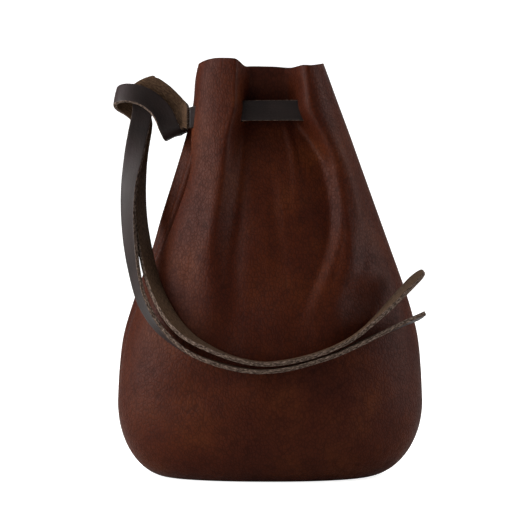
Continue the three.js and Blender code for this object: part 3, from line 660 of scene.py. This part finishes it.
def bag_surface(side, turn, z):
    """Point of the leather's outer face at an angle round the bag from +X and a height. It lies
    on the oval |x / width| ^ n + |y / depth| ^ n = 1, pulled in at the side seams, and moved
    front to back by the valley, the dents and the small folds."""
    left, right, front, back, square = oval(z)
    cos, sin = np.cos(turn), np.sin(turn)
    facing = np.abs(sin) ** (2 / square)
    x = np.sign(cos) * np.abs(cos) ** (2 / square) * np.where(cos < 0, left, right)
    y = np.sign(sin) * facing * np.where(sin < 0, front, back)
    push = facing * (valley(FRONT_VALLEY if side < 0 else BACK_VALLEY, x, z)
                     - small_relief(side, x, z))
    if side < 0:
        for across, height, half_width, half_height, depth in DENTS:
            dent = hump((x / HALF_WIDTH - across) / half_width)
            push = push + HALF_DEPTH * depth * dent * hump((z / HEIGHT - height) / half_height)
    out, fold, reach, step = (np.where(cos < 0, column(LEFT_SEAM, z / HEIGHT, k),
                                       column(RIGHT_SEAM, z / HEIGHT, k)) for k in (1, 2, 3, 4))
    sideways = np.abs(cos) ** (2 / square)
    inward = fold * hump((y / HALF_DEPTH - out) / reach)
    beside_seam = rise((out - y / HALF_DEPTH) / STEP_REACH)
    inward = inward + step * beside_seam * rise(sideways / STEP_FADE - 0.5)
    return np.stack([x - np.sign(cos) * HALF_WIDTH * inward, y - side * push, z], axis=-1)


def seam_turn(side, seam, z, lip):
    """Angle at which the outer face stands lip behind or before the given side's seam."""
    _, _, front, back, square = oval(z)
    y = HALF_DEPTH * column(seam, z / HEIGHT, 1) + lip
    away = np.sign(y) * np.arcsin((np.abs(y) / np.where(y < 0, front, back)) ** (square / 2))
    if seam is LEFT_SEAM:
        return np.pi - away
    return away + 2 * np.pi if side < 0 else away


def panel_sheet(side):
    """Outer face of a panel as points and quads: flat underside rows, rows that turn up into
    the wall and wall rows up to the rim, then the sewn edge rolled in a quarter circle and
    carried on as a flat allowance. side is -1 for the front and 1 for the back."""
    lip = side * (SEAM_ROLL + SEAM_GAP / 2)
    share = np.linspace(0, 1, COLUMNS + 1)[None, :]

    def on_bag(z):
        left = seam_turn(side, LEFT_SEAM, z, lip)
        right = seam_turn(side, RIGHT_SEAM, z, lip)
        return bag_surface(side, left + (right - left) * share, z)

    brim = on_bag(np.full((1, COLUMNS + 1), HEIGHT))
    sag = RIM_SAG * valley(FRONT_VALLEY if side < 0 else BACK_VALLEY, brim[..., 0], brim[..., 2])
    top = HEIGHT * (1 - column(RIM, share, 1)) - np.maximum(sag, 0)
    up = np.linspace(0, np.pi / 2, TURN_ROWS, endpoint=False)[:, None]
    turn_z = BASE_TURN * (1 - np.cos(up)) + 0 * share
    wall_z = BASE_TURN + (top - BASE_TURN) * np.linspace(0, 1, WALL_ROWS + 1)[:, None]
    wall = on_bag(np.vstack([turn_z, wall_z]))
    in_share = np.linspace(0, 1, UNDERSIDE_ROWS, endpoint=False)[:, None]
    underside = np.repeat(wall[:1], UNDERSIDE_ROWS, axis=0)
    underside[..., 1] = lip + (underside[..., 1] - lip) * in_share
    grid = np.concatenate([underside, wall])
    number = np.arange(grid.shape[0] * grid.shape[1]).reshape(grid.shape[:2])
    quads = np.stack([number[:-1, :-1], number[:-1, 1:], number[1:, 1:], number[1:, :-1]], 2)
    quads = [quads.reshape(-1, 4)]
    points = [grid.reshape(-1, 3)]

    edge = np.concatenate([number[UNDERSIDE_ROWS:, 0][::-1], number[0, 1:-1],
                           number[UNDERSIDE_ROWS:, -1]])
    line = points[0][edge]
    way = np.gradient(line, axis=0)
    inwards = np.stack([-way[:, 2], 0 * way[:, 0], way[:, 0]], axis=1)
    inwards = inwards / np.linalg.norm(inwards, axis=1)[:, None]
    turns = np.concatenate([np.linspace(0, np.pi / 2, ROLL_RINGS + 1)[1:],
                            np.full(ALLOWANCE_RINGS, np.pi / 2)])
    flat = np.concatenate([np.zeros(ROLL_RINGS),
                           np.linspace(0, SEAM_ALLOWANCE, ALLOWANCE_RINGS + 1)[1:]])
    rings = line[None] + inwards[None] * (SEAM_ROLL * (1 - np.cos(turns)) + flat)[:, None, None]
    rings[..., 1] = rings[..., 1] - side * SEAM_ROLL * np.sin(turns)[:, None]
    ring_number = number.size + np.arange(rings.shape[0] * rings.shape[1])
    ring_number = np.vstack([edge[None], ring_number.reshape(rings.shape[:2])])
    points.append(rings.reshape(-1, 3))
    quads.append(np.stack([ring_number[1:, :-1], ring_number[1:, 1:], ring_number[:-1, 1:],
                           ring_number[:-1, :-1]], axis=2).reshape(-1, 4))
    quads = np.vstack(quads)
    return np.vstack(points), quads if side < 0 else quads[:, ::-1]


def weld(points, quads):
    """The same sheet as triangles, with points nearer than a micrometre made one and triangles
    without area left out."""
    _, first, name = np.unique(np.round(points, 6), axis=0, return_index=True,
                               return_inverse=True)
    triangles = name.reshape(-1)[np.vstack([quads[:, :3], quads[:, [0, 2, 3]]])]
    a, b, c = triangles.T
    return points[first], triangles[(a != b) & (b != c) & (c != a)]


def leather_shell(points, triangles):
    """Closed shell from a sheet: its inner face lies LEATHER inside along the normals, and five
    strips of a slightly crowned cut edge join the two. Parts are 0 for grain, 1 for flesh and
    2 for cut edge."""
    corners = points[triangles]
    normal = np.cross(corners[:, 1] - corners[:, 0], corners[:, 2] - corners[:, 0])
    normals = np.zeros_like(points)
    for k in range(3):
        np.add.at(normals, triangles[:, k], normal)
    normals = normals / np.linalg.norm(normals, axis=1)[:, None]
    count = len(points)
    sides = np.vstack([triangles[:, [0, 1]], triangles[:, [1, 2]], triangles[:, [2, 0]]])
    forward, backward = sides @ [count, 1], sides @ [1, count]
    open_sides = sides[~np.isin(forward, backward)]
    rim = np.unique(open_sides)
    across = points[open_sides[:, 1]] - points[open_sides[:, 0]]
    outwards = np.zeros_like(points)
    away = np.cross(across, normals[open_sides[:, 0]])
    np.add.at(outwards, open_sides[:, 0], away)
    np.add.at(outwards, open_sides[:, 1], away)
    outwards[rim] = outwards[rim] / np.linalg.norm(outwards[rim], axis=1)[:, None]
    layers = []
    for through in STRIP_DEPTHS:
        crown = CUT_CROWN * (4 * through * (1 - through)) ** 0.5
        layers.append(points - LEATHER * through * normals + crown * outwards)
    everything = np.vstack([points, points - LEATHER * normals,
                            *(layer[rim] for layer in layers)])
    place = np.zeros(count, dtype=int)
    place[rim] = np.arange(len(rim))
    start, end = open_sides.T
    levels = [(start, end)]
    for k in range(len(STRIP_DEPTHS)):
        base = 2 * count + k * len(rim)
        levels.append((base + place[start], base + place[end]))
    levels.append((start + count, end + count))
    strips = []
    for (a, b), (c, d) in zip(levels[:-1], levels[1:]):
        strips.append(np.stack([b, a, c], axis=1))
        strips.append(np.stack([b, c, d], axis=1))
    strips = np.vstack(strips)
    faces = np.vstack([triangles, triangles[:, ::-1] + count, strips])
    parts = np.repeat([0, 1, 2], [len(triangles), len(triangles), len(strips)])
    return everything, faces, parts


PEBBLE = 0.0013
LUMP = 0.0028
WARP_WIDTH = 0.0035
WARP_DEPTH = 0.0011
POUCH_CLOUD = 0.022


def pebbled_grain(name, shades):
    """Finished grain face of the pouch: oiled, tumbled cowhide. Tumbling breaks the grain into
    pebbles about 1.3 mm wide with fine creases between them, and the oil leaves a soft sheen
    and clouds of colour 10 to 30 mm wide."""
    material, tree, shader = new_leather(name)
    coords = add_node(tree, "ShaderNodeTexCoord")
    warp = add_node(tree, "ShaderNodeTexNoise",
                    {"Vector": coords.outputs["Object"], "Scale": 1 / WARP_WIDTH, "Detail": 2.0})
    warp_size = add_node(tree, "ShaderNodeVectorMath",
                         {0: warp.outputs["Color"], 1: (WARP_DEPTH, WARP_DEPTH, WARP_DEPTH)},
                         operation="MULTIPLY")
    warped = add_node(tree, "ShaderNodeVectorMath",
                      {0: coords.outputs["Object"], 1: warp_size.outputs["Vector"]},
                      operation="ADD")
    lengthen = add_node(tree, "ShaderNodeMapping",
                        {"Vector": warped.outputs["Vector"], "Scale": (1.0, 1.0, 0.72)})
    creases = add_node(tree, "ShaderNodeTexVoronoi",
                       {"Vector": lengthen.outputs["Vector"], "Scale": 1 / PEBBLE},
                       feature="DISTANCE_TO_EDGE")
    pebbles = add_node(tree, "ShaderNodeMapRange",
                       {"Value": creases.outputs["Distance"], "From Max": 0.22},
                       interpolation_type="SMOOTHSTEP")
    broad = add_node(tree, "ShaderNodeTexNoise",
                     {"Vector": lengthen.outputs["Vector"], "Scale": 1 / LUMP, "Detail": 3.0})
    relief = add_node(tree, "ShaderNodeMath",
                      {0: pebbles.outputs["Result"], 1: 0.45, 2: broad.outputs["Fac"]},
                      operation="MULTIPLY_ADD")
    bump = add_node(tree, "ShaderNodeBump",
                    {"Height": relief.outputs["Value"], "Strength": 0.45, "Distance": 0.0003})
    tree.links.new(bump.outputs["Normal"], shader.inputs["Normal"])
    clouds = add_node(tree, "ShaderNodeTexNoise",
                      {"Vector": coords.outputs["Object"], "Scale": 1 / POUCH_CLOUD,
                       "Detail": 4.0, "Roughness": 0.6})
    ramp = add_node(tree, "ShaderNodeValToRGB", {"Fac": clouds.outputs["Fac"]})
    colour_steps(ramp, shades)
    # Painted shade and painted light: the colour is darkened in the creases between the pebbles
    # and lightened on the pebble tops, following the grain's relief.
    painted_crease_shade = add_node(tree, "ShaderNodeMapRange",
                     {"Value": relief.outputs["Value"], "From Min": 0.3, "From Max": 1.0,
                      "To Min": 0.62, "To Max": 1.15})
    colour_with_painted_shade = add_node(tree, "ShaderNodeVectorMath",
                      {0: ramp.outputs["Color"], "Scale": painted_crease_shade.outputs["Result"]},
                      operation="SCALE")
    tree.links.new(colour_with_painted_shade.outputs["Vector"], shader.inputs["Base Color"])
    sheen = add_node(tree, "ShaderNodeMapRange",
                     {"Value": relief.outputs["Value"], "From Min": 0.3, "From Max": 1.0,
                      "To Min": 0.6, "To Max": 0.46})
    tree.links.new(sheen.outputs["Result"], shader.inputs["Roughness"])
    shader.inputs["Specular IOR Level"].default_value = 0.08
    return material


pouch_grain = pebbled_grain("oiled_pebbled_cowhide", [(0.3, "#351309"), (0.45, "#3c170a"),
                                                      (0.58, "#421b0b"), (0.74, "#4d230e")])
pouch_flesh = raw_fibre("raw_cowhide_flesh", [(0.3, "#2b1a12"), (0.5, "#4b3022"),
                                              (0.75, "#6a4a37")], 0.0009, 0.0004, "Object")
pouch_edge = raw_fibre("cut_cowhide_edge", [(0.3, "#1a0d08"), (0.5, "#2f1a12"),
                                            (0.75, "#4a2f22")], 0.0006, 0.0002, "Object")
pouch_leather = [pouch_grain, pouch_flesh, pouch_edge]

# The slits are cut by the threaded lace itself, a little larger all round and carried on at both
# ends by SLIT_RUN_OUT of its steps. Every face of the cutter is a cut edge.
ends = np.stack([2 * neck_points[0] - neck_points[SLIT_RUN_OUT],
                 2 * neck_points[-1] - neck_points[-1 - SLIT_RUN_OUT]])
cutter_points = np.vstack([ends[:1], neck_points, ends[1:]])
cutter_edge = np.vstack([neck_edge[:1], neck_edge, neck_edge[-1:]])
even = np.ones(len(cutter_points))
slit_cutter = lace_piece("slit_cutter", cutter_points, cutter_edge, even, 0 * even,
                         pouch_leather, SLIT_CLEARANCE)
slit_cutter.data.polygons.foreach_set(
    "material_index", np.full(len(slit_cutter.data.polygons), 2, dtype=np.int32))


def panel(name, node, side):
    """A panel: its sheet welded, thickened and slit by the cutter."""
    points, faces, parts = leather_shell(*weld(*panel_sheet(side)))
    piece = make_piece(name, points, faces.tolist(), parts, pouch_leather)
    slit = piece.modifiers.new("slits", "BOOLEAN")
    slit.operation = "DIFFERENCE"
    slit.solver = "MANIFOLD"
    slit.object = slit_cutter
    shaped = piece.evaluated_get(bpy.context.evaluated_depsgraph_get())
    piece.data = bpy.data.meshes.new_from_object(shaped)
    piece.data.name = name
    piece.modifiers.clear()
    piece.data.set_sharp_from_angle(angle=np.radians(SHARP_ANGLE))
    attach(piece, "root")
    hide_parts(node)


panel("pouch_front", "front_panel", -1)

# The back panel
# The second piece of the same hide, gathered by the same lace into folds of its own. It is sewn
# to the front panel along both sides and the base, and its edge rolls inwards as well.
panel("pouch_back", "back_panel", 1)
bpy.data.objects.remove(slit_cutter)

# The floor
# A pale card that runs flat under the pouch and sweeps up behind it, so no line shows where
# floor turns to wall.
FLOOR_HALF = 1.6
SWEEP_START = 0.9
SWEEP_RADIUS = 0.5
SWEEP_POINTS = 25
CARD_TOP = 2.0
CARD_GLOW = 0.85
sweep_turn = np.linspace(0, np.pi / 2, SWEEP_POINTS)[1:]
sweep_y = np.concatenate([[-FLOOR_HALF, SWEEP_START],
                          SWEEP_START + SWEEP_RADIUS * np.sin(sweep_turn)])
sweep_y = np.append(sweep_y, sweep_y[-1])
sweep_z = np.concatenate([[0, 0], SWEEP_RADIUS * (1 - np.cos(sweep_turn)), [CARD_TOP]])
left_side = np.stack([0 * sweep_y - FLOOR_HALF, sweep_y, sweep_z], axis=1)
right_side = left_side * [-1, 1, 1]
row = np.arange(len(left_side) - 1)
floor_quads = np.stack([row, row + len(left_side), row + len(left_side) + 1, row + 1], axis=1)
card, card_tree, card_shader = new_leather("pale_card")
card_shader.inputs["Base Color"].default_value = linear("#d8d8d7")
card_shader.inputs["Roughness"].default_value = 0.9
card_shader.inputs["Specular IOR Level"].default_value = 0.1
card_shader.inputs["Emission Color"].default_value = linear("#ffffff")
seen = add_node(card_tree, "ShaderNodeLightPath")
glow = add_node(card_tree, "ShaderNodeMath",
                {0: seen.outputs["Is Camera Ray"], 1: CARD_GLOW}, operation="MULTIPLY")
card_tree.links.new(glow.outputs["Value"], card_shader.inputs["Emission Strength"])
floor = make_piece("pale_floor", np.vstack([left_side, right_side]), floor_quads.tolist(),
                   np.zeros(len(floor_quads)), [card])

# The light
# A large soft box at the left, a weaker one at the right, faint ones before, above and behind
# the pouch, and a dim even surround.
BOX_WIDTH = 0.5
BOX_HEIGHT = 0.7
LIGHT_AIM = (0.0, 0.0, 0.08)


def soft_box(name, place, watts):
    """A rectangular light at place that faces LIGHT_AIM, turned by the angles of the line from
    one to the other."""
    data = bpy.data.lights.new(name, "AREA")
    data.shape = "RECTANGLE"
    data.size = BOX_WIDTH
    data.size_y = BOX_HEIGHT
    data.energy = watts
    lamp = bpy.data.objects.new(name, data)
    lamp.location = place
    way = np.array(LIGHT_AIM) - np.array(place)
    away = np.hypot(way[0], way[1])
    lamp.rotation_euler = (np.arctan2(away, -way[2]), 0.0, np.arctan2(-way[0], way[1]))
    bpy.context.scene.collection.objects.link(lamp)


soft_box("left_soft_box", (-0.88, -0.2, 0.3), 10.8)
soft_box("right_soft_box", (0.88, -0.06, 0.35), 5.8)
soft_box("front_fill", (-0.6, -0.65, 0.45), 2.2)
soft_box("top_fill", (-0.3, -0.1, 1.0), 1.5)
soft_box("back_fill", (0.2, 0.75, 0.8), 5.0)
surround = bpy.data.worlds.new("even_surround")
surround.use_nodes = True
surround_light = surround.node_tree.nodes["Background"]
surround_light.inputs["Color"].default_value = linear("#ffffff")
surround_light.inputs["Strength"].default_value = 0.08
bpy.context.scene.world = surround
bpy.context.scene.view_settings.view_transform = "Standard"
